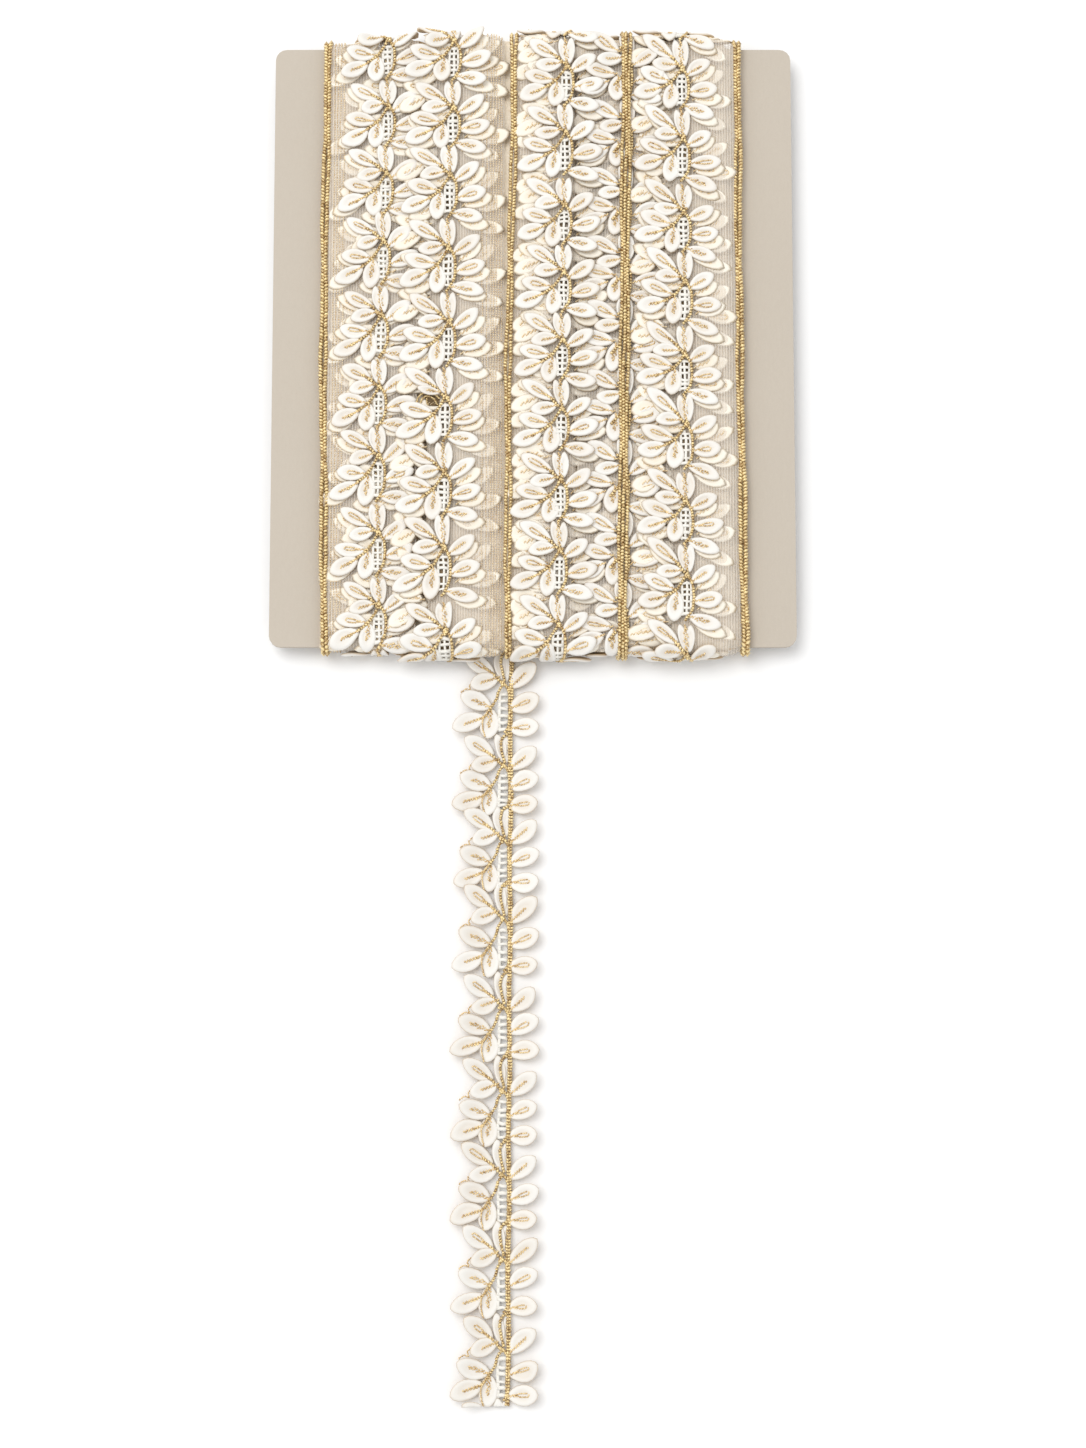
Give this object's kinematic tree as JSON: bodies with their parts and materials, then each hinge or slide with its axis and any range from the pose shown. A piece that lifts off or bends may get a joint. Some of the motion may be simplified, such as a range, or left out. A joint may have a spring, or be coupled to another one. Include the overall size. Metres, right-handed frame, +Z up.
{
  "type": "embroidered lace trim wound on a card",
  "caption": "Ivory leaf lace trim with gold cord veins, wound in side by side laps round a flat card, with one loose end lying straight.",
  "frame": {"origin": "middle of the whole thing's box, on the surface it lies on", "axes": "+Y along the winding, away from the loose end; +Z up out of the front of the wound block"},
  "size_m": [0.21, 0.5507, 0.0171],
  "materials": {
    "card": "matt, faint paper grain",
    "net_ground": "fine sheer net over padded laps",
    "leaf_satin": "padded soft weave, matt",
    "gold_thread": "metallic thread and tiny beads"
  },
  "bodies": {
    "root": {"winding_card": "card", "wound_lace": "net_ground", "leaf_vine_1": "leaf_satin", "leaf_vine_2": "leaf_satin", "leaf_vine_3": "leaf_satin", "leaf_vine_4": "leaf_satin", "leaf_vine_5": "leaf_satin", "gold_cord_1": "gold_thread", "gold_cord_2": "gold_thread", "gold_cord_3": "gold_thread", "gold_cord_4": "gold_thread", "loose_end": "leaf_satin", "loose_end_cord": "gold_thread"}
  },
  "joints": []
}
